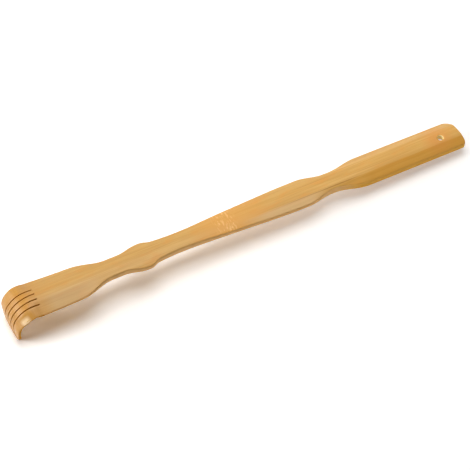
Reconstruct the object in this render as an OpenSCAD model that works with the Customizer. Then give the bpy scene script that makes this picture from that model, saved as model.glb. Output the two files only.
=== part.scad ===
// Bamboo back scratcher: one split strip of culm, sawn to outline, with a bent five-finger claw.
// The strip is drawn straight along X with its crown on z = 0, then laid down on its fingertips and its grip.

/* [Culm] */
// Radius of the culm that the strip was split from, which crowns the whole upper side
culm_radius = 34; // [28:0.5:60]

/* [Claw] */
// Outer radius of the bend at the middle of the claw
bend_radius = 20.8; // [16:0.2:30]
// Angle that the fingers turn through
bend_angle = 97; // [80:1:115]
// Straight length of the fingertips past the bend
tip_len = 13; // [8:0.5:24]
// Thickness of the fingers at the middle of the claw
finger_thick = 4; // [3:0.1:5.5]
// Distance between neighbouring saw cuts
finger_pitch = 5.35; // [4:0.05:6.5]
// Width of each saw cut
cut_w = 0.9; // [0.5:0.1:1.6]
// Length of the saw cuts behind the bend
cut_root_len = 3.8; // [2:0.2:12]
// Radius of the crown that is left across the bend, where steam has flattened it
claw_radius = 220; // [40:5:400]
// Length over which the crown flattens, from the roots of the saw cuts
flatten_len = 18; // [8:1:30]
// Width of the row of fingertips at its end
tip_row_w = 20; // [18:0.2:28]
// Length over which the row narrows to that width
tip_taper_len = 23; // [8:1:30]
// Extra width on the far side of the claw, where the strip was sawn wider
claw_flare = 1.6; // [0:0.1:3]
// Radius that rounds the end of each fingertip, front and back
tip_round = 1.2; // [0.4:0.1:1.4]

/* [Palm] */
// Width of the palm at the saw cuts
palm_front_w = 34.2; // [29:0.2:40]
// Width of the palm where its shoulders begin
palm_back_w = 32.6; // [26:0.2:40]
// Length of the palm from the saw cuts to its shoulders
palm_len = 37; // [20:1:60]
// Depth of the palm from its crown to its rim
palm_depth = 7; // [6:0.1:9]
// Length of the shoulders between palm and neck
shoulder_len = 30; // [18:1:50]

/* [Neck] */
// Width of the neck
neck_w = 17.4; // [12:0.2:20]
// Length of the neck at its narrowest
neck_len = 12; // [4:1:30]
// Depth of the neck
neck_depth = 8; // [7:0.1:10]

/* [Bulge] */
// Width of the bulge
bulge_w = 25.2; // [20:0.2:28]
// Length over which the neck swells into the bulge
bulge_rise_len = 20; // [10:1:40]
// Length of the bulge at its widest
bulge_len = 3; // [1:0.5:12]
// Length of the step down from the bulge to the shaft
bulge_step_len = 9; // [6:0.5:24]
// Depth of the bulge
bulge_depth = 7.8; // [7:0.1:10]

/* [Shaft] */
// Width of the shaft at the foot of the bulge's step
shaft_start_w = 18.8; // [17:0.2:19.8]
// Width of the shaft at its waist
waist_w = 16.6; // [12:0.2:16.8]
// Depth of the shaft at its waist
waist_depth = 8; // [7:0.1:10]
// Length from the bulge's step to the waist
waist_taper_len = 22; // [10:1:40]
// Length from the waist to the middle of the culm's joint
lower_shaft_len = 52; // [30:1:90]
// Width of the shaft at the culm's joint
joint_w = 22.4; // [18:0.2:25]
// Depth of the shaft at the culm's joint
joint_depth = 6.8; // [6:0.1:10]
// Length of the stretch that holds the culm's joint
joint_len = 12; // [6:1:24]
// Length from the middle of the culm's joint to the broad shoulder
upper_shaft_len = 65; // [40:1:100]
// Width of the broad shoulder
broad_w = 27.6; // [24:0.2:34]
// Length of the broad shoulder at its widest
broad_len = 4; // [1:0.5:20]
// Depth of the broad shoulder
broad_depth = 7.2; // [6:0.1:10]

/* [Grip neck] */
// Length from the broad shoulder to the grip neck
grip_neck_fall_len = 25; // [14:1:40]
// Width of the grip neck
grip_neck_w = 18; // [14:0.2:22]
// Length of the grip neck at its narrowest
grip_neck_len = 4; // [1:0.5:20]
// Depth of the grip neck
grip_neck_depth = 9.6; // [8:0.1:12]
// Length from the grip neck to the grip
grip_neck_rise_len = 32; // [18:1:50]

/* [Grip] */
// Width of the grip at its front
grip_w = 29.4; // [24:0.2:34]
// Width of the grip at its end
grip_end_w = 29; // [24:0.2:34]
// Length of the grip along its near side
grip_len = 99; // [60:1:160]
// Depth of the grip from its crown to its rim
grip_depth = 10.5; // [9:0.1:13]
// Depth of the hollow along the underside of the grip
grip_hollow = 5; // [1.5:0.1:6]
// Width of the flat rim on each side of that hollow
grip_rim_w = 2.6; // [1.5:0.1:4]
// Radius of the grip's end corner on the near side
near_corner = 4; // [2:0.5:11]
// Radius of the grip's end corner on the far side, which was sanded rounder
far_corner = 11; // [2:0.5:11]
// Slope by which the grip's end is sawn askew, shorter on the far side
end_slant = 7; // [0:0.5:10]
// Width of the flat left along the top of the grip between its planed bevels
grip_flat_w = 13; // [8:0.2:18]
// Slope of those bevels
grip_bevel = 28; // [15:1:35]
// Slope by which the bevels run out over the grip neck
bevel_fade = 2.5; // [2:0.1:5]

/* [Hanging hole] */
// Diameter of the hanging hole
hole_d = 5; // [3:0.1:8]
// Distance from the middle of the hanging hole to the grip's end
hole_inset = 21; // [12:0.5:40]
// Distance of the hanging hole from the middle of the grip, towards the near side
hole_aside = 1.8; // [0:0.1:3]

/* [Hidden] */

// Smoothness of arcs, the spacing of points along the sawn outline, and the steps of the fingers' mesh
$fn = 96;
outline_step = 2.5;
finger_chords = 5;
bend_steps = 14;
tip_steps = 8;
// Margin by which a cutting shape passes the stock
past = 1;
finger_count = 5;

bamboo_color = [0.86, 0.68, 0.40];
claw_color = [0.84, 0.62, 0.33];
joint_color = [0.92, 0.69, 0.40];

// Places along the strip, counted from the roots of the saw cuts
shoulder_x = palm_len;
neck_x = shoulder_x + shoulder_len;
neck_end_x = neck_x + neck_len;
bulge_x = neck_end_x + bulge_rise_len;
bulge_end_x = bulge_x + bulge_len;
shaft_x = bulge_end_x + bulge_step_len;
waist_x = shaft_x + waist_taper_len;
joint_x = waist_x + lower_shaft_len;
broad_x = joint_x + upper_shaft_len;
broad_end_x = broad_x + broad_len;
grip_neck_x = broad_end_x + grip_neck_fall_len;
grip_neck_end_x = grip_neck_x + grip_neck_len;
grip_x = grip_neck_end_x + grip_neck_rise_len;
end_x = grip_x + grip_len;
hole_x = end_x - hole_inset;

// Half width and depth at each of those places
STATIONS = [
    [0, palm_front_w / 2, palm_depth],
    [shoulder_x, palm_back_w / 2, palm_depth],
    [neck_x, neck_w / 2, neck_depth],
    [neck_end_x, neck_w / 2, neck_depth],
    [bulge_x, bulge_w / 2, bulge_depth],
    [bulge_end_x, bulge_w / 2, bulge_depth],
    [shaft_x, shaft_start_w / 2, waist_depth],
    [waist_x, waist_w / 2, waist_depth],
    [joint_x, joint_w / 2, joint_depth],
    [broad_x, broad_w / 2, broad_depth],
    [broad_end_x, broad_w / 2, broad_depth],
    [grip_neck_x, grip_neck_w / 2, grip_neck_depth],
    [grip_neck_end_x, grip_neck_w / 2, grip_neck_depth],
    [grip_x, grip_w / 2, grip_depth],
    [end_x, grip_end_w / 2, grip_depth]
];
last = len(STATIONS) - 1;

// Smooth curve through one column of the stations, flat at every widest and narrowest place
function rise(i, k) = (STATIONS[i + 1][k] - STATIONS[i][k]) / (STATIONS[i + 1][0] - STATIONS[i][0]);
function lean(a, b) = a * b <= 0 ? 0 : 2 * a * b / (a + b);
function slope(i, k) = i == 0 || i == last ? 0 : lean(rise(i - 1, k), rise(i, k));
function stretch(x) = min([for (i = [0:last - 1]) if (x <= STATIONS[i + 1][0] || i == last - 1) i]);
function curve(t, p, q, dp, dq) =
    p * (1 + 2 * t) * pow(1 - t, 2) + dp * t * pow(1 - t, 2) + q * t * t * (3 - 2 * t) - dq * t * t * (1 - t);
function along(x, k) =
    let (i = stretch(x))
    let (run = STATIONS[i + 1][0] - STATIONS[i][0])
    curve((x - STATIONS[i][0]) / run, STATIONS[i][k], STATIONS[i + 1][k], slope(i, k) * run, slope(i + 1, k) * run);
function half_w(x) = along(x, 1);
function depth(x) = along(x, 2);
function far_half_w(x) = half_w(x) + claw_flare * pow(max(1 - x / shoulder_x, 0), 2);
function steps(from, to) =
    let (count = ceil((to - from) / outline_step))
    [for (i = [0:count]) from + (to - from) * i / count];

// Drop of the crown below its highest line, at a place across the strip
function crown_drop(y) = culm_radius - sqrt(pow(culm_radius, 2) - y * y);

// Scoop under the palm and fingers: an arc from rim to rim that leaves the fingers' thickness at the middle
scoop = palm_depth - finger_thick;
scoop_radius = (pow(palm_front_w / 2, 2) + pow(scoop, 2)) / (2 * scoop);
scoop_tilt = atan((neck_depth - finger_thick) / neck_x);
function scoop_roof(y) = finger_thick + scoop_radius - sqrt(pow(scoop_radius, 2) - y * y);

// Hollow under the grip: an arc between the two rims
hollow_half_w = min(grip_w, grip_end_w) / 2 - grip_rim_w;
hollow_radius = (pow(hollow_half_w, 2) + pow(grip_hollow, 2)) / (2 * grip_hollow);

// Path of the fingers: a place along them and above their crown line, after bending
bend_len = bend_radius * bend_angle * PI / 180;
finger_len = cut_root_len + bend_len + tip_len;
function turn_at(s) = min(max(s - cut_root_len, 0) / bend_len, 1) * bend_angle;
function eased(t) = t * t * (3 - 2 * t);
function bent(s, n) =
    let (turn = turn_at(s))
    let (straight = min(s, cut_root_len))
    let (past_bend = max(s - cut_root_len - bend_len, 0))
    [
        -straight - (bend_radius + n) * sin(turn) - past_bend * cos(turn),
        (bend_radius + n) * cos(turn) - bend_radius - past_bend * sin(turn)
    ];

// Rest: the fingertips and the underside of the grip's end stand on one level
tip_round_mid = bent(finger_len - tip_round, -tip_round);
tip_x = tip_round_mid[0];
tip_z = tip_round_mid[1] - tip_round;
end_lag = tan(end_slant);
function rim_in(corner) = min(max(0, hollow_half_w - grip_end_w / 2 + corner), corner);
function rim_end(corner, from_near) =
    end_x - corner + sqrt(pow(corner, 2) - pow(rim_in(corner), 2)) - end_lag * from_near;
near_rim_end = rim_end(near_corner, grip_end_w / 2 - hollow_half_w);
far_rim_end = rim_end(far_corner, grip_end_w / 2 + hollow_half_w);
rest_x = max(near_rim_end, far_rim_end);
rest_tilt = atan((-grip_depth - tip_z) / (rest_x - tip_x));
rest_lift = tip_x * sin(rest_tilt) - tip_z * cos(rest_tilt);
claw_reach = bend_radius + cut_root_len * cos(rest_tilt) + bend_radius * sin(rest_tilt);
rest_shift = (end_x * cos(rest_tilt) - claw_reach) / 2;

module at_rest() {
    translate([-rest_shift, 0, rest_lift])
        rotate([0, rest_tilt, 0])
            children();
}

// Turns a shape drawn in the cross-section, across and up, to face along the strip
module across(from, to) {
    translate([from, 0, 0])
        rotate([90, 0, 90])
            linear_extrude(to - from)
                children();
}

module crown_disc() {
    translate([0, -culm_radius])
        circle(culm_radius);
}

module plan_outline(from, to) {
    places = steps(from, to);
    back = [for (i = [len(places) - 1:-1:0]) places[i]];
    polygon(concat([for (x = places) [x, -half_w(x)]], [for (x = back) [x, far_half_w(x)]]));
}

module side_outline(from, to) {
    places = steps(from, to);
    polygon(concat([[to, past], [from, past]], [for (x = places) [x, -depth(x)]]));
}

// One stretch of the strip: the culm's crown, sawn to the plan outline and planed to the side outline
module strip(from, to) {
    widest = max([for (s = STATIONS) s[1]]) + claw_flare + past;
    deepest = max([for (s = STATIONS) s[2]]) + past;
    intersection() {
        translate([0, 0, -deepest])
            linear_extrude(deepest + past)
                plan_outline(from, to);
        translate([0, widest, 0])
            rotate([90, 0, 0])
                linear_extrude(2 * widest)
                    side_outline(from, to);
        across(from, to)
            crown_disc();
    }
}

module palm_scoop() {
    translate([0, 0, -finger_thick])
        rotate([0, scoop_tilt, 0])
            translate([0, 0, -scoop_radius])
                rotate([0, 90, 0])
                    cylinder(r = scoop_radius, h = 4 * neck_x, center = true);
}

module grip_scoop() {
    translate([grip_x, 0, grip_hollow - grip_depth - hollow_radius]) {
        rotate([0, 90, 0])
            cylinder(r = hollow_radius, h = grip_len + past);
        sphere(hollow_radius);
    }
}

// Rounded end of the grip, seen from above, with its askew cut
module grip_end_outline(from) {
    half_w = grip_end_w / 2;
    widest = max(grip_w, grip_end_w) / 2 + past;
    start = from - past;
    multmatrix([[1, -end_lag, 0, -end_lag * half_w], [0, 1, 0, 0], [0, 0, 1, 0]])
        for (corner = [[-1, near_corner], [1, far_corner]]) {
            side = corner[0];
            radius = corner[1];
            scale([1, side]) {
                translate([start, -past])
                    square([end_x - radius - start, widest + past]);
                translate([start, -past])
                    square([end_x - start, half_w - radius + past]);
            }
            translate([end_x - radius, side * (half_w - radius)])
                circle(radius);
        }
}

// Planed bevels on both sides of the grip's top; they end at the given place and may rise towards the claw
module bevels(end, fade) {
    reach = grip_len + grip_neck_rise_len;
    for (side = [-1, 1])
        translate([end, side * grip_flat_w / 2, -crown_drop(grip_flat_w / 2)])
            rotate([-side * grip_bevel, 0, 0])
                rotate([0, fade, 0])
                    translate([-reach, side < 0 ? -grip_w : 0, 0])
                        cube([reach, grip_w, grip_depth]);
}

module hanging_hole() {
    translate([hole_x, -hole_aside, -grip_depth - past])
        cylinder(d = hole_d, h = grip_depth + 2 * past);
}

// Half width of the claw at a place along the fingers, drawn in towards its tips
tip_half_w = max(tip_row_w / 2, (finger_count / 2 - 1) * finger_pitch + cut_w / 2 + past);
function claw_half_w(s) =
    let (t = min(max(s - finger_len + tip_taper_len, 0) / tip_taper_len, 1))
    palm_front_w / 2 - (palm_front_w / 2 - tip_half_w) * (1 - sqrt(1 - t * t));

// Drop of the fingers' crown, which flattens from the culm's own curve into the bend
function finger_drop(s, y) =
    let (flat = eased(min(s / flatten_len, 1)))
    let (radius = 1 / ((1 - flat) / culm_radius + flat / claw_radius))
    radius - sqrt(radius * radius - y * y);
function finger_depth(y) = scoop_roof(y) - crown_drop(y);

// One ring of a finger's mesh: its crown from one side to the other, then its underside back again
function finger_ring(s, low, high) =
    let (limit = claw_half_w(s))
    let (into = max(s - finger_len + tip_round, 0))
    let (ease = tip_round - sqrt(pow(tip_round, 2) - into * into))
    let (from = max(low, -limit))
    let (to = min(high, limit + claw_flare))
    let (spread = [for (i = [0:finger_chords]) from + (to - from) * i / finger_chords])
    let (back = [for (i = [finger_chords:-1:0]) spread[i]])
    concat(
        [for (y = spread) let (p = bent(s, -finger_drop(s, y) - ease)) [p[0], y, p[1]]],
        [for (y = back) let (p = bent(s, ease - finger_drop(s, y) - finger_depth(y))) [p[0], y, p[1]]]
    );

// Places of those rings along the finger, closer together towards the tip's end
function finger_places() = concat(
    [0],
    [for (i = [0:bend_steps]) cut_root_len + bend_len * i / bend_steps],
    [for (i = [1:tip_steps]) cut_root_len + bend_len + tip_len * sin(90 * i / tip_steps)]
);

// One finger: the strip between two neighbouring saw cuts, with its root, bend and tip
module finger(number) {
    middle = finger_count / 2;
    low = number == 1 ? -palm_front_w / 2 : (number - 1 - middle) * finger_pitch + cut_w / 2;
    high = number == finger_count ? palm_front_w / 2 + claw_flare : (number - middle) * finger_pitch - cut_w / 2;
    rings = [for (s = finger_places()) finger_ring(s, low, high)];
    sides = len(rings[0]);
    ends = len(rings) - 1;
    walls = [
        for (r = [0:ends - 1])
            for (i = [0:sides - 1])
                let (a = r * sides + i)
                let (b = r * sides + (i + 1) % sides)
                each [[a, b, a + sides], [b, b + sides, a + sides]]
    ];
    caps = [
        for (i = [0:finger_chords - 1])
            let (a = i)
            let (b = sides - 1 - i)
            let (tip = ends * sides)
            each [
                [a, b, a + 1],
                [b, b - 1, a + 1],
                [tip + a, tip + a + 1, tip + b],
                [tip + b, tip + a + 1, tip + b - 1]
            ]
    ];
    color(claw_color)
        at_rest()
            polyhedron([for (ring = rings) each ring], concat(walls, caps));
}

// Places where one named stretch of the strip ends and the next begins
palm_end_x = (shoulder_x + neck_x) / 2;
neck_cut_x = (neck_end_x + bulge_x) / 2;
bulge_cut_x = (bulge_end_x + shaft_x) / 2;
joint_front_x = joint_x - joint_len / 2;
joint_back_x = joint_x + joint_len / 2;
broad_cut_x = (broad_end_x + grip_neck_x) / 2;
grip_cut_x = (grip_neck_end_x + grip_x) / 2;

module palm() {
    color(bamboo_color)
        at_rest()
            difference() {
                strip(0, palm_end_x);
                palm_scoop();
            }
}

module neck() {
    color(bamboo_color)
        at_rest()
            difference() {
                strip(palm_end_x, neck_cut_x);
                palm_scoop();
            }
}

module bulge() {
    color(bamboo_color)
        at_rest()
            strip(neck_cut_x, bulge_cut_x);
}

module lower_shaft() {
    color(bamboo_color)
        at_rest()
            strip(bulge_cut_x, joint_front_x);
}

module bamboo_node() {
    color(joint_color)
        at_rest()
            strip(joint_front_x, joint_back_x);
}

module upper_shaft() {
    color(bamboo_color)
        at_rest()
            strip(joint_back_x, broad_cut_x);
}

module grip_neck() {
    color(bamboo_color)
        at_rest()
            difference() {
                strip(broad_cut_x, grip_cut_x);
                grip_scoop();
                bevels(grip_cut_x, bevel_fade);
            }
}

module grip() {
    color(bamboo_color)
        at_rest()
            difference() {
                intersection() {
                    strip(grip_cut_x, end_x);
                    translate([0, 0, -grip_depth - past])
                        linear_extrude(grip_depth + 2 * past)
                            grip_end_outline(grip_cut_x);
                }
                grip_scoop();
                bevels(end_x, 0);
                hanging_hole();
            }
}

finger(1);  // finger_1
finger(2);  // finger_2
finger(3);  // finger_3
finger(4);  // finger_4
finger(5);  // finger_5
palm();
neck();
bulge();
lower_shaft();
bamboo_node();
upper_shaft();
grip_neck();
grip();
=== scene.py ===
import math

import bmesh
import bpy
from mathutils import Matrix, Vector


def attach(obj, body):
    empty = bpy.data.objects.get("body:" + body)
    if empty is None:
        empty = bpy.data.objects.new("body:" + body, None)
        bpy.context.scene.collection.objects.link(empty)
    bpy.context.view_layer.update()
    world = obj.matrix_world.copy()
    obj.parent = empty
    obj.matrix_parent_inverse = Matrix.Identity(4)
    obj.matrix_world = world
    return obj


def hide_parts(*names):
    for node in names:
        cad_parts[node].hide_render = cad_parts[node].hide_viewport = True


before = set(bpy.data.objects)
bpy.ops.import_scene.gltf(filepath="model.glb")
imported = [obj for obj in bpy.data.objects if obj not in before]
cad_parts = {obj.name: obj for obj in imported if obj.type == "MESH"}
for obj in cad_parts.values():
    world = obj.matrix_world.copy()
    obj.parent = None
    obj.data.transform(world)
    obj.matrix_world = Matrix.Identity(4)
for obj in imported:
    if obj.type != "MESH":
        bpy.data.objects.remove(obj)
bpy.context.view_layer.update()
scene = bpy.context.scene
mm = 0.001
print("frame loaded:", len(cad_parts), "nodes")

# the strip is drawn straight along x with its crown on z = 0, in mm, as in the CAD
strip = {
    "culmRadius": 34.0,
    "ringStep": 1.0,
    # place along the strip, half width, depth
    "outline": [
        (0, 17.1, 7.0),
        (37, 16.3, 7.0),
        (67, 8.7, 8.0),
        (79, 8.7, 8.0),
        (99, 12.6, 7.8),
        (102, 12.6, 7.8),
        (111, 9.5, 8.0),
        (133, 8.3, 8.0),
        (185, 11.2, 6.8),
        (250, 13.8, 7.2),
        (254, 13.8, 7.2),
        (279, 9.0, 9.6),
        (283, 9.0, 9.6),
        (315, 14.7, 10.5),
        (414, 14.5, 10.5),
    ],
    # place along the strip, round of the upper edge, round of the lower edge,
    # ridge from the middle, the ridge's share, drop of the planed edge
    "edges": [
        (0, 0.5, 0.5, 5.0, 1.0, 4.6),
        (37, 0.5, 0.5, 4.5, 1.0, 4.1),
        (56, 0.5, 0.5, 4.0, 0.6, 1.8),
        (80, 0.5, 0.6, 4.0, 0.0, 1.2),
        (195, 0.7, 0.6, 6.0, 0.0, 1.8),
        (225, 0.7, 0.6, 6.6, 0.5, 2.3),
        (250, 0.7, 0.7, 6.8, 1.0, 2.8),
        (270, 0.7, 0.8, 6.2, 1.0, 2.2),
        (281, 0.8, 0.8, 6.4, 1.0, 2.0),
        (300, 1.2, 0.9, 6.6, 1.0, 3.6),
        (318, 3.0, 1.2, 6.6, 1.0, 4.9),
        (414, 3.0, 1.2, 6.6, 1.0, 4.9),
    ],
    "ridgeSoft": 0.25,  # how softly the ridge turns over
    "underSoft": 0.2,  # and the edges of the scoop and the hollow
    # points on the top, a top corner, a wall, a lower corner and the underside of one ring
    "counts": (40, 6, 5, 4, 24),
    "farRound": 1.4,  # largest round of the far upper edge
    "leastWall": 0.02,  # least height of a wall
    "slopeStep": 0.05,  # half of the step on which a slope is measured
    "underDown": 9.0,  # depth given to the underside, out of reach of the painted shade line along the top of the walls
}
# where a point of the skin lies, for the materials
sideMark = {"top": 0.0, "wall": 1.0, "under": 2.0, "bore": 3.0}
claw = {
    "bendRadius": 20.8,
    "bendAngle": math.radians(97),
    "tipLen": 13.0,
    "thick": 4.0,
    "pitch": 5.35,
    "cutW": 0.9,
    "cutRootLen": 3.8,
    "flatRadius": 220.0,  # crown left across the bend
    "flattenLen": 18.0,
    "flare": 1.6,  # the claw is sawn wider on its far side
    "flareEnd": 37.0,
    "planedEnd": 13.0,  # the palm's planed sides run out here
    # sanded corner of the near finger: line across, slope, and its start, full depth and end along the finger
    "facet": (-10.0, 0.5, 2.0, 17.0, 33.0),
    "facetSoft": 0.5,
    "tipHalf": 10.0,  # half width of the row of tips
    "taperLen": 23.0,
    "tipRound": 1.2,
    "cutEdge": 0.25,  # round of the edges along the saw cuts
    "outerEdge": 1.2,  # sanded edge along the outer fingers
    "outerRun": 8.0,  # length over which that edge grows
    "outerLimit": 0.45,  # its largest share of the finger's width
    "lowerEdge": 0.3,
    "tipNarrow": 0.4,  # share of the tip's round that is taken off its sides too
    "tipRings": 6,
    "ringStep": 1.0,
    "counts": (8, 5, 3, 4, 8),
}
grip = {
    "startX": 315.0,
    "endX": 414.0,
    "slant": math.tan(math.radians(7)),  # the end is sawn askew, shorter on the far side
    "slantFrom": 398.0,
    "hollow": 5.0,
    "rim": 2.6,
    "nearCorner": 4.0,
    "farCorner": 11.0,
    "endRound": 1.2,
    "holeX": 393.0,
    "holeY": -1.8,
    "holeR": 2.5,
    "holeEdge": 0.8,
    "holeCells": 4,  # half of the square of faces that the hole takes out
    "holeBlend": 4,  # rows of faces round it that are drawn into circles
    "holeDown": 30.0,  # depth given to the bore, as underDown
    "endRings": 20,
}


def smoothAlong(table, x, column):
    # curve through one column of a table, flat at its highest and lowest places
    last = len(table) - 1
    i = 0
    while i < last - 1 and x > table[i + 1][0]:
        i += 1

    def rise(k):
        return (table[k + 1][column] - table[k][column]) / (table[k + 1][0] - table[k][0])

    def lean(k):
        if k == 0 or k == last:
            return 0.0
        a, b = rise(k - 1), rise(k)
        return 0.0 if a * b <= 0 else 2 * a * b / (a + b)

    run = table[i + 1][0] - table[i][0]
    t = min(max((x - table[i][0]) / run, 0.0), 1.0)
    p, q = table[i][column], table[i + 1][column]
    return (
        p * (1 + 2 * t) * (1 - t) ** 2
        + lean(i) * run * t * (1 - t) ** 2
        + q * t * t * (3 - 2 * t)
        - lean(i + 1) * run * t * t * (1 - t)
    )


def sagitta(radius, y):
    return radius - math.sqrt(max(radius * radius - y * y, 0.0))


def smoothMax(a, b):
    return 0.5 * (a + b + math.sqrt((a - b) ** 2 + strip["underSoft"] ** 2))


def edgeAt(x, side):
    # sawn edge on the near (-1) or far (1) side, with the grip's two end corners
    corner = grip["nearCorner"] if side < 0 else grip["farCorner"]
    into = min(max(x - grip["endX"] + corner, 0.0), corner)
    w = smoothAlong(strip["outline"], x, 1) - sagitta(corner, into)
    if side > 0:
        w += claw["flare"] * max(1 - x / claw["flareEnd"], 0.0) ** 2
    return side * w


def topHeight(x, y):
    # crown of the culm, turning into a flat top with planed bevels where the ridge has a share
    drop = sagitta(strip["culmRadius"], y)
    share = smoothAlong(strip["edges"], x, 4)
    if share > 0.001:
        w = smoothAlong(strip["outline"], x, 1)
        ridge = smoothAlong(strip["edges"], x, 3)
        soft = strip["ridgeSoft"]

        def past(t):
            return soft * math.log(1 + math.exp(t / soft))

        def flat(t):
            return sagitta(strip["culmRadius"], t - past(t - ridge))

        slope = (smoothAlong(strip["edges"], x, 5) - flat(w)) / past(w - ridge)
        planed = flat(abs(y)) + slope * past(abs(y) - ridge)
        drop += share * (planed - drop)
    return -drop


scoop = strip["outline"][0][2] - claw["thick"]
scoopRadius = (strip["outline"][0][1] ** 2 + scoop ** 2) / (2 * scoop)
scoopFall = (strip["outline"][2][2] - claw["thick"]) / strip["outline"][2][0]
hollowHalf = strip["outline"][-1][1] - grip["rim"]
hollowRadius = (hollowHalf ** 2 + grip["hollow"] ** 2) / (2 * grip["hollow"])


def underHeight(x, y):
    # planed flat, scooped under the palm and hollowed under the grip
    z = -smoothAlong(strip["outline"], x, 2)
    if x < strip["outline"][3][0]:
        roof = -claw["thick"] - scoopFall * x - sagitta(scoopRadius, y)
        z = smoothMax(z, roof)
    before = max(grip["startX"] - x, 0.0)
    reach = hollowRadius ** 2 - before ** 2 - y * y
    if x > grip["startX"] - hollowHalf and reach > 0:
        roof = grip["hollow"] - strip["outline"][-1][2] - hollowRadius + math.sqrt(reach)
        z = smoothMax(z, roof)
    return z


# path of the fingers: a place along them and above their crown line, after bending
bendLen = claw["bendRadius"] * claw["bendAngle"]
fingerLen = claw["cutRootLen"] + bendLen + claw["tipLen"]


def bent(s, n):
    turn = min(max(s - claw["cutRootLen"], 0.0) / bendLen, 1.0) * claw["bendAngle"]
    straight = min(s, claw["cutRootLen"])
    pastBend = max(s - claw["cutRootLen"] - bendLen, 0.0)
    r = claw["bendRadius"] + n
    return (
        -straight - r * math.sin(turn) - pastBend * math.cos(turn),
        r * math.cos(turn) - claw["bendRadius"] - pastBend * math.sin(turn),
    )


# at rest the fingertips and the underside of the grip's end stand on z = 0
tipMid = bent(fingerLen - claw["tipRound"], -claw["tipRound"])
tipX, tipZ = tipMid[0], tipMid[1] - claw["tipRound"]
rimIn = max(0.0, hollowHalf - strip["outline"][-1][1] + grip["nearCorner"])
restX = grip["endX"] - sagitta(grip["nearCorner"], rimIn) - grip["slant"] * grip["rim"]
restTilt = math.atan((-strip["outline"][-1][2] - tipZ) / (restX - tipX))
restLift = tipX * math.sin(restTilt) - tipZ * math.cos(restTilt)
clawReach = claw["bendRadius"] * (1 + math.sin(restTilt)) + claw["cutRootLen"] * math.cos(restTilt)
restShift = (grip["endX"] * math.cos(restTilt) - clawReach) / 2


def atRest(x, y, z):
    c, s = math.cos(restTilt), math.sin(restTilt)
    return Vector((x * c + z * s - restShift, y, z * c - x * s + restLift)) * mm


def cornerStart(edge, side, radius, topOf):
    # where a top corner's round leaves the crown, and the slope there
    step = strip["slopeStep"]
    slope = 0.0
    for _ in range(4):
        y = edge - side * radius * (1 - math.sin(slope))
        slope = math.atan(max(-side * (topOf(y + step) - topOf(y - step)) / (2 * step), 0.0))
    return y, slope


def sectionLoop(low, high, topOf, underOf, rounds, counts):
    # closed section: over the top from low to high y, down that side, back underneath and up the other side
    nTop, nCorner, nWall, nLow, nUnder = counts
    starts = {}
    for side, edge, radius in ((-1, low, rounds[0]), (1, high, rounds[1])):
        starts[side] = (edge, radius, *cornerStart(edge, side, radius, topOf))
    loop = []

    def corner(side):
        _, radius, y0, slope = starts[side]
        top = topOf(y0)
        cy = y0 - side * radius * math.sin(slope)
        cz = top - radius * math.cos(slope)
        points = []
        for k in range(1, nCorner + 1):
            a = slope + (math.pi / 2 - slope) * k / nCorner
            z = cz + radius * math.cos(a)
            points.append((cy + side * radius * math.sin(a), z, k / nCorner, top - z))
        return points

    def wall(side, zTop, drop):
        edge = starts[side][0]
        radius = rounds[2]
        zLow = min(underOf(edge - side * radius) + radius, zTop - strip["leastWall"])
        points = []
        for k in range(1, nWall + 1):
            z = zTop + (zLow - zTop) * k / nWall
            points.append((edge, z, sideMark["wall"], drop + zTop - z))
        for k in range(1, nLow + 1):
            a = math.pi / 2 * k / nLow
            y = edge - side * radius * (1 - math.cos(a))
            z = zLow - radius * math.sin(a)
            points.append((y, z, sideMark["wall"] + k / nLow, drop + zTop - z))
        return points

    y0, y1 = starts[-1][2], starts[1][2]
    for k in range(nTop + 1):
        y = y0 + (y1 - y0) * k / nTop
        loop.append((y, topOf(y), sideMark["top"], 0.0))
    highCorner = corner(1)
    loop += highCorner
    loop += wall(1, highCorner[-1][1], highCorner[-1][3])
    lowCorner = corner(-1)
    lowSide = lowCorner + wall(-1, lowCorner[-1][1], lowCorner[-1][3])
    yA, yB = loop[-1][0], lowSide[-1][0]
    for k in range(1, nUnder):
        y = yA + (yB - yA) * k / nUnder
        loop.append((y, underOf(y), sideMark["under"], strip["underDown"]))
    loop += reversed(lowSide)
    return loop


def stripRing(x):
    into = max(x - grip["endX"] + grip["endRound"], 0.0)
    ease = sagitta(grip["endRound"], min(into, grip["endRound"]))
    upper = smoothAlong(strip["edges"], x, 1)
    lower = smoothAlong(strip["edges"], x, 2)
    loop = sectionLoop(
        edgeAt(x, -1),
        edgeAt(x, 1),
        lambda y: topHeight(x, y) - ease,
        lambda y: underHeight(x, y) + ease,
        (upper, min(upper, strip["farRound"]), lower),
        strip["counts"],
    )
    return [(x, *point) for point in loop]


def places(start, end, step):
    count = max(1, math.ceil((end - start) / step - 1e-6))
    return [start + (end - start) * k / count for k in range(count + 1)]


def orderedLoop(verts):
    loop = [verts[0]]
    while len(loop) < len(verts):
        nexts = [e.other_vert(loop[-1]) for e in loop[-1].link_edges]
        loop.append(next(v for v in nexts if v not in loop[-2:]))
    return loop


def loopEdges(bm, loop):
    return [bm.edges.get(pair) for pair in zip(loop, loop[1:] + loop[:1])]


def extrudeLoop(bm, loop):
    grown = bmesh.ops.extrude_edge_only(bm, edges=loopEdges(bm, loop))["geom"]
    fresh = {g for g in grown if isinstance(g, bmesh.types.BMVert)}
    return [next(o for o in (e.other_vert(v) for e in v.link_edges) if o in fresh) for v in loop]


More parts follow.
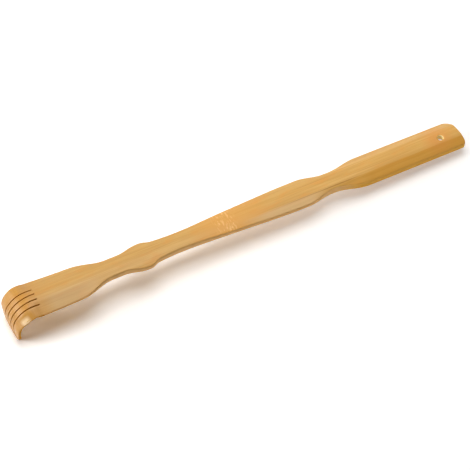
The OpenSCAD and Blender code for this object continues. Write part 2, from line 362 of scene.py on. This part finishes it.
def sweep(rings):
    # draws rings into one closed skin; a point holds its place in the world, its place on the unbent blank,
    # its side mark and its depth below the upper edge
    bm = bmesh.new()
    blank = bm.verts.layers.float_vector.new("blank")
    sideLayer = bm.verts.layers.float.new("side")
    downLayer = bm.verts.layers.float.new("down")
    made = bmesh.ops.create_circle(bm, cap_ends=False, segments=len(rings[0]), radius=mm)
    loop = orderedLoop(made["verts"])
    loops = []
    for k, ring in enumerate(rings):
        if k:
            loop = extrudeLoop(bm, loop)
        for v, (place, flat, side, down) in zip(loop, ring):
            v.co = place
            v[blank] = flat
            v[sideLayer] = side
            v[downLayer] = down
        loops.append(loop)
    for f in bm.faces:
        f.smooth = True
    for end in (loops[0], loops[-1]):
        edges = loopEdges(bm, end)
        bmesh.ops.contextual_create(bm, geom=edges)
        for e in edges:
            e.smooth = False
    return bm, loops


def finishPiece(bm, node, material):
    bmesh.ops.recalc_face_normals(bm, faces=bm.faces)
    mesh = bpy.data.meshes.new(node + "_skin")
    bm.to_mesh(mesh)
    bm.free()
    mesh.materials.append(material)
    piece = bpy.data.objects.new(node + "_bamboo", mesh)
    scene.collection.objects.link(piece)
    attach(piece, "root")
    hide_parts(node)


# patterns in the bamboo: scale along, across and through the strip, detail, roughness, offset and turn
grain = {
    "fine": ((0.012, 1.2, 1.2), 3.0, 0.6, (0, 0, 0), 0.0),
    "streak": ((0.016, 0.42, 0.42), 2.0, 0.55, (7, 3, 1), 0.0),
    "cloud": ((0.03, 0.09, 0.09), 1.0, 0.5, (2, 9, 4), 0.0),
    "patch": ((0.05, 0.16, 0.16), 2.0, 0.55, (5, 2, 8), 0.0),
    "marks": ((0.6, 0.22, 0.22), 2.0, 0.6, (3, 1, 5), 0.5),
    "creases": ((1.1, 0.05, 0.05), 1.0, 0.5, (1, 2, 3), 0.0),
    "bundles": ((0.03, 1.6, 0.4), 2.0, 0.6, (4, 6, 2), 0.0),
}
# bamboo, on the coordinates of the unbent blank so that its fibres run round the bend; a colour's At, From
# and To say where it lies, across or along the strip or in a pattern, and then how strong it is there
bamboo = {
    "base": (0.595, 0.312, 0.054),
    "pale": (0.675, 0.388, 0.088),
    "dark": (0.47, 0.20, 0.03),
    "paleAt": (0.36, 0.64),
    "baseAt": (0.4, 0.7, 0.0, 0.5),
    "darkAt": (0.54, 0.74),
    "stripFibre": 0.65,  # how strongly the dark fibres show
    "clawFibre": 0.6,
    "jointFibre": 0.55,
    "wallShadeLine": (0.72, 0.39, 0.12),  # painted shade: a darker line along the top of the walls, where they turn into shade
    "lineDepth": (0.8, 3.2, 0.9, 0.0),
    # paler raw wood of the walls, also painted paler to make up for the light they lack
    "wall": (1.0, 0.61, 0.24),
    "wallAt": (0.3, 0.9),
    "lineAt": (0.3, 0.8),
    "sawn": (0.80, 0.38, 0.05),  # walls of the fingers, raw wood painted paler to lift the shade inside the narrow saw cuts
    # painted shade line along the top of the finger walls
    "sawnShadeLine": (0.58, 0.25, 0.02),
    "under": (0.86, 0.50, 0.15),  # inner wood on the planed underside
    "underDark": (0.56, 0.27, 0.06),  # bundles of fibres in it
    "underDarkAt": (0.5, 0.66, 0.0, 0.75),
    "underPaleAt": (0.36, 0.64, 0.0, 0.4),
    "underAt": (1.4, 1.9),
    "joint": (0.74, 0.33, 0.04),
    "jointMark": (0.92, 0.55, 0.18),
    "jointFrom": (140.0, 172.0),
    "jointTo": (184.0, 225.0),
    "jointAt": (0.2, 0.6, 0.6, 0.8),
    "markAt": (0.51, 0.64),
    "markShare": 0.62,
    "markFrom": (166.0, 171.0),
    "markTo": (183.0, 189.0),
    "length": (0.0, 330.0, 0.84, 1.06),  # painted light and shade: the strip is darker at the claw than at the grip, for how the light falls along it
    "warm": (0.70, 0.29, 0.03),  # patches
    "warmAt": (0.5, 0.7, 0.0, 0.5),
    "creaseAt": (0.5, 0.62, 0.0, 0.3),  # dark creases across the bend
    "toasted": (0.58, 0.25, 0.022),  # browner where steam has bent it
    "toastedTo": (-5.0, 14.0, 0.6, 0.0),
    "bore": (1.0, 0.82, 0.42),  # raw wood in the hanging hole, painted near white so that the hole looks lit through
    "boreAt": (2.2, 2.8),
    "gripWall": (0.88, 0.47, 0.07),  # the grip's walls are sanded into its flanks and painted in the flank's shaded tone
    "gripFrom": (284.0, 306.0),
    "lineTo": (262.0, 292.0),  # the painted shade line runs out before the grip
    "gripFlankShade": (0.60, 0.275, 0.02),  # painted shade: the grip's planed flank below its near ridge, darker as it turns from the light
    "gripFlankAt": (-7.5, -6.5, 0.7, 0.0),
    "gripFlankFrom": (286.0, 318.0),
    "ridgeShade": (0.40, 0.17, 0.02),  # painted shade: a darker line along the near ridge
    "ridgeAt": (-6.9, 0.9),  # middle and width
    "ridgeShare": 0.7,
    "ridgeFrom": (228.0, 246.0),
    "ridgeTo": (296.0, 312.0),
    "flankSheen": (0.66, 0.43, 0.19),  # painted sheen: paler between that ridge and the near edge
    "flankAt": (-8.5, -6.0, 0.7, 0.0),
    "flankFrom": (188.0, 215.0),
    "flankTo": (258.0, 285.0),
    "palmFlankAt": (-7.0, -2.5, 0.4, 0.0),  # the same painted sheen along the near side of the palm
    "palmFlankFrom": (3.0, 13.0),
    "palmFlankTo": (38.0, 60.0),
    "stain": (0.66, 0.27, 0.04),  # warmer round the hanging hole
    "stainReach": (5.0, 18.0, 0.7, 0.0),
    "stainShift": 3.0,  # a little towards the claw
    "sanded": (1.0, 0.72, 0.40),  # worn corner of the near finger, painted pale also for the highlight that falls on it
    "sandedFrom": (-25.0, -22.0),
    "sandedTo": (-17.0, -13.0),
    "sandedOut": (-14.0, -11.5, 1.0, 0.0),
    "roughness": (0.39, 0.51),
    "rawRoughness": 0.9,  # sawn walls carry no varnish
    "coat": 0.4,
    "specular": 0.3,
    "coatRoughness": 0.4,
    "roughAt": (0.3, 0.7),
    "bump": 0.1,
    "bumpDepth": 0.1,
}


def maths(tree, operation, a, b):
    node = tree.nodes.new("ShaderNodeMath")
    node.operation = operation
    tree.links.new(a, node.inputs[0])
    tree.links.new(b, node.inputs[1])
    return node.outputs["Value"]


def mapRange(tree, value, low, high, outLow=0.0, outHigh=1.0, easing="LINEAR"):
    node = tree.nodes.new("ShaderNodeMapRange")
    node.interpolation_type = easing
    node.inputs["From Min"].default_value = low
    node.inputs["From Max"].default_value = high
    node.inputs["To Min"].default_value = outLow
    node.inputs["To Max"].default_value = outHigh
    tree.links.new(value, node.inputs["Value"])
    return node.outputs["Result"]


def mixColour(tree, factor, a, b):
    node = tree.nodes.new("ShaderNodeMix")
    node.data_type = "RGBA"
    tree.links.new(factor, node.inputs[0])
    for socket, value in ((node.inputs[6], a), (node.inputs[7], b)):  # the node's two colours
        if isinstance(value, tuple):
            socket.default_value = (*value, 1.0)
        else:
            tree.links.new(value, socket)
    return node.outputs[2]


def bambooMaterial(name, fibre, wall, line, wornAndHighlit):
    material = bpy.data.materials.new(name)
    material.use_nodes = True
    tree = material.node_tree
    nodes, links = tree.nodes, tree.links
    shader = nodes["Principled BSDF"]

    def attribute(attributeName, output):
        node = nodes.new("ShaderNodeAttribute")
        node.attribute_name = attributeName
        return node.outputs[output]

    blank = attribute("blank", "Vector")
    side = attribute("side", "Fac")
    down = attribute("down", "Fac")
    split = nodes.new("ShaderNodeSeparateXYZ")
    links.new(blank, split.inputs[0])
    alongX, acrossY = split.outputs["X"], split.outputs["Y"]

    def noise(scale, detail, rough, offset, turn):
        mapping = nodes.new("ShaderNodeMapping")
        mapping.inputs["Scale"].default_value = scale
        mapping.inputs["Location"].default_value = offset
        mapping.inputs["Rotation"].default_value = (0, 0, turn)
        links.new(blank, mapping.inputs["Vector"])
        tex = nodes.new("ShaderNodeTexNoise")
        tex.inputs["Scale"].default_value = 1.0
        tex.inputs["Detail"].default_value = detail
        tex.inputs["Roughness"].default_value = rough
        links.new(mapping.outputs["Vector"], tex.inputs["Vector"])
        return tex.outputs["Fac"]

    def ramp(value, *span):
        return mapRange(tree, value, *span)

    def times(a, b):
        return maths(tree, "MULTIPLY", a, b)

    def mix(factor, a, b):
        return mixColour(tree, factor, a, b)

    def stretch(start, end, share=1.0):
        # fades in along the strip at one place and out at another
        return times(ramp(alongX, *bamboo[start]), ramp(alongX, *bamboo[end], share, 0.0))

    fine = noise(*grain["fine"])
    streak = noise(*grain["streak"])
    cloud = noise(*grain["cloud"])
    colour = mix(ramp(streak, *bamboo["paleAt"]), bamboo["base"], bamboo["pale"])
    colour = mix(ramp(cloud, *bamboo["baseAt"]), colour, bamboo["base"])
    colour = mix(ramp(noise(*grain["patch"]), *bamboo["warmAt"]), colour, bamboo["warm"])
    colour = mix(ramp(fine, *bamboo["darkAt"], 0.0, fibre), colour, bamboo["dark"])
    colour = mix(ramp(alongX, *bamboo["toastedTo"]), colour, bamboo["toasted"])
    # the culm's joint: warmer, with pale marks that cross the fibres
    joint = times(stretch("jointFrom", "jointTo"), ramp(cloud, *bamboo["jointAt"]))
    colour = mix(joint, colour, bamboo["joint"])
    marked = stretch("markFrom", "markTo", bamboo["markShare"])
    marked = times(marked, ramp(noise(*grain["marks"]), *bamboo["markAt"]))
    colour = mix(marked, colour, bamboo["jointMark"])
    if wornAndHighlit:
        creases = ramp(noise(*grain["creases"]), *bamboo["creaseAt"])
        colour = mix(creases, colour, bamboo["dark"])
        # painted highlight: the near finger's worn corner is painted pale where the highlight falls
        sanded = times(stretch("sandedFrom", "sandedTo"), ramp(acrossY, *bamboo["sandedOut"]))
        colour = mix(sanded, colour, bamboo["sanded"])
    # painted shade along the near ridge of the broad shoulder, painted sheen on the paler sides below it and
    # along the palm's near side, and painted shade on the grip's flank
    onRidge = nodes.new("ShaderNodeMath")
    onRidge.operation = "COMPARE"
    links.new(acrossY, onRidge.inputs[0])
    onRidge.inputs[1].default_value = bamboo["ridgeAt"][0]
    onRidge.inputs[2].default_value = bamboo["ridgeAt"][1] / 2
    ridge = stretch("ridgeFrom", "ridgeTo", bamboo["ridgeShare"])
    colour = mix(times(ridge, onRidge.outputs["Value"]), colour, bamboo["ridgeShade"])
    flankSheen = times(stretch("flankFrom", "flankTo"), ramp(acrossY, *bamboo["flankAt"]))
    colour = mix(flankSheen, colour, bamboo["flankSheen"])
    palmFlankSheen = times(stretch("palmFlankFrom", "palmFlankTo"), ramp(acrossY, *bamboo["palmFlankAt"]))
    colour = mix(palmFlankSheen, colour, bamboo["flankSheen"])
    gripFlankShade = times(ramp(alongX, *bamboo["gripFlankFrom"]), ramp(acrossY, *bamboo["gripFlankAt"]))
    colour = mix(gripFlankShade, colour, bamboo["gripFlankShade"])
    fromHole = nodes.new("ShaderNodeVectorMath")
    fromHole.operation = "DISTANCE"
    links.new(blank, fromHole.inputs[0])
    fromHole.inputs[1].default_value = (grip["holeX"] - bamboo["stainShift"], grip["holeY"], 0)
    colour = mix(ramp(fromHole.outputs["Value"], *bamboo["stainReach"]), colour, bamboo["stain"])
    # walls with their painted shade line along the top, underside and bore
    wall = mix(ramp(alongX, *bamboo["gripFrom"]), wall, bamboo["gripWall"])
    colour = mix(ramp(side, *bamboo["wallAt"]), colour, wall)
    edge = times(ramp(side, *bamboo["lineAt"]), ramp(down, *bamboo["lineDepth"]))
    edge = times(edge, ramp(alongX, *bamboo["lineTo"], 1.0, 0.0))
    colour = mix(edge, colour, line)
    bundles = ramp(noise(*grain["bundles"]), *bamboo["underDarkAt"])
    under = mix(bundles, bamboo["under"], bamboo["underDark"])
    under = mix(ramp(streak, *bamboo["underPaleAt"]), under, bamboo["pale"])
    colour = mix(ramp(side, *bamboo["underAt"]), colour, under)
    colour = mix(ramp(side, *bamboo["boreAt"]), colour, bamboo["bore"])
    # painted light and shade along the strip, darker at the claw and lighter at the grip
    shade = nodes.new("ShaderNodeVectorMath")
    shade.operation = "SCALE"
    links.new(colour, shade.inputs[0])
    links.new(ramp(alongX, *bamboo["length"]), shade.inputs["Scale"])
    links.new(shade.outputs["Vector"], shader.inputs["Base Color"])
    raw = ramp(side, *bamboo["wallAt"], 0.0, bamboo["rawRoughness"])
    rough = maths(tree, "MAXIMUM", ramp(fine, *bamboo["roughAt"], *bamboo["roughness"]), raw)
    links.new(rough, shader.inputs["Roughness"])
    links.new(ramp(side, *bamboo["wallAt"], bamboo["coat"], 0.0), shader.inputs["Coat Weight"])
    shader.inputs["Coat Roughness"].default_value = bamboo["coatRoughness"]
    shader.inputs["Specular IOR Level"].default_value = bamboo["specular"]
    bump = nodes.new("ShaderNodeBump")
    bump.inputs["Strength"].default_value = bamboo["bump"]
    bump.inputs["Distance"].default_value = bamboo["bumpDepth"] * mm
    links.new(fine, bump.inputs["Height"])
    links.new(bump.outputs["Normal"], shader.inputs["Normal"])
    return material


stripBamboo = bambooMaterial(
    "strip_bamboo", bamboo["stripFibre"], bamboo["wall"], bamboo["wallShadeLine"], False
)
clawBamboo = bambooMaterial(
    "claw_bamboo", bamboo["clawFibre"], bamboo["sawn"], bamboo["sawnShadeLine"], True
)
jointBamboo = bambooMaterial(
    "joint_bamboo", bamboo["jointFibre"], bamboo["wall"], bamboo["wallShadeLine"], False
)
print("materials made")

# stretches of the strip, each with the two places where it is cut from the next
stretches = {
    "palm": (0, 52, stripBamboo, "bamboo_strip"),
    "neck": (52, 89, stripBamboo, "bamboo_strip"),
    "bulge": (89, 106.5, stripBamboo, "bamboo_strip"),
    "lower_shaft": (106.5, 179, stripBamboo, "bamboo_strip"),
    "bamboo_node": (179, 191, jointBamboo, "bamboo_joint"),
    "upper_shaft": (191, 266.5, stripBamboo, "bamboo_strip"),
    "grip_neck": (266.5, 299, stripBamboo, "bamboo_strip"),
}


def placedRing(x):
    # a ring of the strip at rest, held back on the far side where the grip's end is sawn askew
    run = grip["endX"] - grip["slantFrom"]
    lag = grip["slant"] * max((x - grip["slantFrom"]) / run, 0.0) ** 2
    ring = []
    for px, y, z, side, down in stripRing(x):
        place = px - lag * (y + strip["outline"][-1][1]), y, z
        ring.append((atRest(*place), Vector(place), side, down))
    return ring


for node, (start, end, material, slotName) in stretches.items():
    bm, _ = sweep([placedRing(x) for x in places(start, end, strip["ringStep"])])
    finishPiece(bm, node, material)
print("strip made:", ", ".join(stretches))


def makeGrip():
    cornerX = grip["endX"] - grip["farCorner"]
    gripPlaces = places(stretches["grip_neck"][1], cornerX, strip["ringStep"])
    for k in range(1, grip["endRings"] + 1):
        gripPlaces.append(cornerX + grip["farCorner"] * math.sin(math.pi / 2 * k / grip["endRings"]))
    bm, loops = sweep([placedRing(x) for x in gripPlaces])
    blank = bm.verts.layers.float_vector["blank"]
    sideLayer = bm.verts.layers.float["side"]
    downLayer = bm.verts.layers.float["down"]
    cells = grip["holeCells"]
    spread = cells + grip["holeBlend"]
    midRow = min(range(len(gripPlaces)), key=lambda i: abs(gripPlaces[i] - grip["holeX"]))
    nTop, nCorner, nWall, nLow, nUnder = strip["counts"]
    underStart = nTop + nCorner + nWall + nLow

    def nearestHole(indices):
        return min(indices, key=lambda k: abs(loops[midRow][k][blank][1] - grip["holeY"]))

    def skinVert(middle, i, j):
        return loops[midRow + i][(middle + j) % len(loops[0])]

    topMid = nearestHole(range(nTop + 1))
    underMid = nearestHole(range(underStart, underStart + nUnder))
    rimLoops = []
    for middle, heightOf in ((topMid, topHeight), (underMid, underHeight)):
        # the faces round the hole are drawn into circles, and those inside it go
        rim = []
        for i in range(-spread, spread + 1):
            for j in range(-spread, spread + 1):
                m = max(abs(i), abs(j))
                if m < cells:
                    continue
                v = skinVert(middle, i, j)
                x, y, _ = v[blank]
                angle = math.atan2(j if middle == topMid else -j, i)
                radius = (grip["holeR"] + grip["holeEdge"]) * m / cells
                weight = 1 - (m - cells) / (spread + 1 - cells)
                x += weight * (grip["holeX"] + radius * math.cos(angle) - x)
                y += weight * (grip["holeY"] + radius * math.sin(angle) - y)
                v[blank] = Vector((x, y, heightOf(x, y)))
                v.co = atRest(*v[blank])
                if m == cells:
                    rim.append((angle, v))
        square = range(-cells, cells + 1)
        inside = {skinVert(middle, i, j) for i in square for j in square}
        gone = [f for f in bm.faces if all(v in inside for v in f.verts)]
        bmesh.ops.delete(bm, geom=gone, context="FACES")
        rimLoops.append([v for _, v in sorted(rim, key=lambda r: r[0])])
    # both rims roll over into the bore
    boreEdges = []
    for rim, way in zip(rimLoops, (-1, 1)):
        loop = rim
        for turn in (math.pi / 4, math.pi / 2):
            loop = extrudeLoop(bm, loop)
            radius = grip["holeR"] + grip["holeEdge"] * (1 - math.sin(turn))
            for v, first in zip(loop, rim):
                x, y, z = first[blank]
                angle = math.atan2(y - grip["holeY"], x - grip["holeX"])
                v[blank] = Vector((
                    grip["holeX"] + radius * math.cos(angle),
                    grip["holeY"] + radius * math.sin(angle),
                    z + way * grip["holeEdge"] * (1 - math.cos(turn)),
                ))
                v[sideLayer] = sideMark["bore"]
                v[downLayer] = grip["holeDown"]
                v.co = atRest(*v[blank])
        boreEdges += loopEdges(bm, loop)
    bmesh.ops.bridge_loops(bm, edges=boreEdges)
    for f in bm.faces:
        if len(f.verts) < 5:  # all but the two ends
            f.smooth = True
    finishPiece(bm, "grip", stripBamboo)


makeGrip()
print("grip made with its hanging hole")


def clawHalfWidth(s):
    rootHalf = strip["outline"][0][1]
    t = min(max(s - fingerLen + claw["taperLen"], 0.0) / claw["taperLen"], 1.0)
    return rootHalf - (rootHalf - claw["tipHalf"]) * (1 - math.sqrt(1 - t * t))


def fingerDrop(s, y):
    # the culm's crown, flattened in the bend
    t = min(s / claw["flattenLen"], 1.0)
    flat = t * t * (3 - 2 * t)
    return sagitta(1 / ((1 - flat) / strip["culmRadius"] + flat / claw["flatRadius"]), y)


def facetDrop(s, y):
    line, slope, start, full, end = claw["facet"]
    t = (s - start) / (full - start) if s < full else (end - s) / (end - full)
    t = min(max(t, 0.0), 1.0)
    over = line - y
    return slope * t * t * (3 - 2 * t) * 0.5 * (over + math.sqrt(over * over + claw["facetSoft"]))


def fingerDepth(y):
    crown = sagitta(strip["culmRadius"], y)
    return min(claw["thick"] + sagitta(scoopRadius, y), strip["outline"][0][2]) - crown


def fingerRing(number, s):
    into = max(s - fingerLen + claw["tipRound"], 0.0)
    ease = sagitta(claw["tipRound"], min(into, claw["tipRound"]))
    narrow = claw["tipNarrow"] * ease
    limit = clawHalfWidth(s)
    low = (number - 3.5) * claw["pitch"] + claw["cutW"] / 2
    high = (number - 2.5) * claw["pitch"] - claw["cutW"] / 2
    if number == 1:
        low = -limit
    if number == 5:
        high = limit + claw["flare"]
    palmEdge = strip["edges"][0][1]
    outer = palmEdge + (claw["outerEdge"] - palmEdge) * min(s / claw["outerRun"], 1.0)
    outer = min(outer, claw["outerLimit"] * (high - low))
    cut = claw["cutEdge"]
    rounds = (outer if number == 1 else cut, outer if number == 5 else cut, claw["lowerEdge"])

    # the palm's planed sides run out over the roots of the fingers
    fade = max(1 - s / claw["planedEnd"], 0.0)
    fade *= fade * (3 - 2 * fade)

    def crownDrop(y):
        planed = -topHeight(0, y) - sagitta(strip["culmRadius"], y)
        return fingerDrop(s, y) + fade * planed + (facetDrop(s, y) if number == 1 else 0.0)

    loop = sectionLoop(
        low + narrow,
        high - narrow,
        lambda y: -crownDrop(y) - ease,
        lambda y: ease - fingerDrop(s, y) - fingerDepth(y),
        rounds,
        claw["counts"],
    )
    ring = []
    for y, n, side, down in loop:
        x, z = bent(s, n)
        ring.append((atRest(x, y, z), Vector((-s, y, n)), side, down))
    return ring


fingerPlaces = places(0, fingerLen - claw["tipRound"], claw["ringStep"])
for k in range(1, claw["tipRings"] + 1):
    turn = math.pi / 2 * k / claw["tipRings"]
    fingerPlaces.append(fingerLen - claw["tipRound"] * (1 - math.sin(turn)))
for number in range(1, 6):
    bm, _ = sweep([fingerRing(number, s) for s in fingerPlaces])
    finishPiece(bm, "finger_%d" % number, clawBamboo)
print("fingers made")

# floor, light and camera
studio = {
    "floorSize": 6.0,
    "floorSeen": 1.25,
    "floorTilt": 0.3 * restTilt,  # it falls away a little below the grip, so that the grip's shadow shows
    "whiteFrom": 0.3,  # past the shadow it runs out into plain white
    "whiteTo": 0.55,
    "paleFrom": -0.08,  # painted light: white mixed into the floor pales the shadow along the strip, towards the grip
    "paleTo": 0.12,
    "paleShare": 0.3,
    "floorLit": 0.9,
    "keyAt": (0.05, 0.26, 1.65),
    "keySize": 1.3,
    "keyPower": 18.6,
    "backAt": (0.6, 1.5, 0.95),
    "backSize": 1.6,
    "backPower": 5.5,
    "leftAt": (-1.46, 0.42, 0.68),
    "leftSize": 0.85,
    "leftPower": 17.0,
    "fill": (1.0, 0.86, 0.72),
    "fillStrength": 0.15,
}
lens = {
    "eye": (-0.52314, -0.96278, 1.59699),
    "elevation": math.radians(55.677),
    "heading": math.radians(28.234),
    "roll": math.radians(0.343),
    "view": math.radians(12.0),
    "sensor": 36.0,
    "clipEnd": 20.0,
}


def seenRays(tree):
    # rays that show the plain white background
    path = tree.nodes.new("ShaderNodeLightPath")
    seen = path.outputs["Is Camera Ray"]
    for name in ("Is Glossy Ray", "Is Transmission Ray"):
        seen = maths(tree, "MAXIMUM", seen, path.outputs[name])
    return seen


def makeFloor():
    bm = bmesh.new()
    bmesh.ops.create_grid(bm, x_segments=1, y_segments=1, size=studio["floorSize"] / 2)
    turn = Matrix.Rotation(studio["floorTilt"], 4, "Y")
    hinge = atRest(tipX, 0, tipZ)
    bmesh.ops.transform(bm, matrix=Matrix.Translation(hinge) @ turn, verts=bm.verts)
    mesh = bpy.data.meshes.new("floor")
    bm.to_mesh(mesh)
    bm.free()
    floor = bpy.data.objects.new("floor", mesh)
    scene.collection.objects.link(floor)
    material = bpy.data.materials.new("white_floor")
    material.use_nodes = True
    tree = material.node_tree
    nodes, links = tree.nodes, tree.links
    shader = nodes["Principled BSDF"]
    shader.inputs["Roughness"].default_value = 1.0
    shader.inputs["Specular IOR Level"].default_value = 0.0
    seen = seenRays(tree)
    floorColour = mixColour(tree, seen, (studio["floorLit"],) * 3, (studio["floorSeen"],) * 3)
    links.new(floorColour, shader.inputs["Base Color"])
    where = nodes.new("ShaderNodeTexCoord").outputs["Object"]
    far = nodes.new("ShaderNodeVectorMath")
    far.operation = "LENGTH"
    links.new(where, far.inputs[0])
    fade = mapRange(tree, far.outputs["Value"], studio["whiteFrom"], studio["whiteTo"], easing="SMOOTHSTEP")
    split = nodes.new("ShaderNodeSeparateXYZ")
    links.new(where, split.inputs[0])
    # painted light: white mixed in along x pales the object's shadow towards the grip
    paleSpan = (studio["paleFrom"], studio["paleTo"], 0.0, studio["paleShare"])
    pale = mapRange(tree, split.outputs["X"], *paleSpan, easing="SMOOTHSTEP")
    share = maths(tree, "MULTIPLY", maths(tree, "MAXIMUM", fade, pale), seen)
    white = nodes.new("ShaderNodeEmission")
    white.inputs["Strength"].default_value = 1.0
    blend = nodes.new("ShaderNodeMixShader")
    links.new(share, blend.inputs[0])
    links.new(shader.outputs[0], blend.inputs[1])
    links.new(white.outputs[0], blend.inputs[2])
    links.new(blend.outputs[0], nodes["Material Output"].inputs["Surface"])
    mesh.materials.append(material)


def makeLight(name):
    at = Vector(studio[name + "At"])
    data = bpy.data.lights.new(name, "AREA")
    data.shape = "DISK"
    data.size = studio[name + "Size"]
    data.energy = studio[name + "Power"]
    light = bpy.data.objects.new(name, data)
    light.location = at
    light.rotation_euler = (-at).to_track_quat("-Z", "Y").to_euler()
    scene.collection.objects.link(light)


def makeWorld():
    world = bpy.data.worlds.new("studio")
    scene.world = world
    world.use_nodes = True
    tree = world.node_tree
    back = tree.nodes["Background"]
    fill = tuple(c * studio["fillStrength"] for c in studio["fill"])
    tree.links.new(mixColour(tree, seenRays(tree), fill, (1.0, 1.0, 1.0)), back.inputs["Color"])
    back.inputs["Strength"].default_value = 1.0


def makeCamera():
    data = bpy.data.cameras.new("camera")
    data.sensor_width = lens["sensor"]
    data.lens = lens["sensor"] / 2 / math.tan(lens["view"] / 2)
    data.clip_end = lens["clipEnd"]
    camera = bpy.data.objects.new("camera", data)
    e, h = lens["elevation"], lens["heading"]
    forward = Vector((math.sin(h) * math.cos(e), math.cos(h) * math.cos(e), -math.sin(e)))
    level = Vector((math.cos(h), -math.sin(h), 0))
    roll = lens["roll"]
    right = level * math.cos(roll) + level.cross(forward) * math.sin(roll)
    up = right.cross(forward)
    turn = Matrix((right, up, -forward)).transposed().to_4x4()
    camera.matrix_world = Matrix.Translation(lens["eye"]) @ turn
    scene.collection.objects.link(camera)
    scene.camera = camera


makeFloor()
for name in ("key", "back", "left"):
    makeLight(name)
makeWorld()
makeCamera()
scene.view_settings.view_transform = "Standard"
print("studio made")
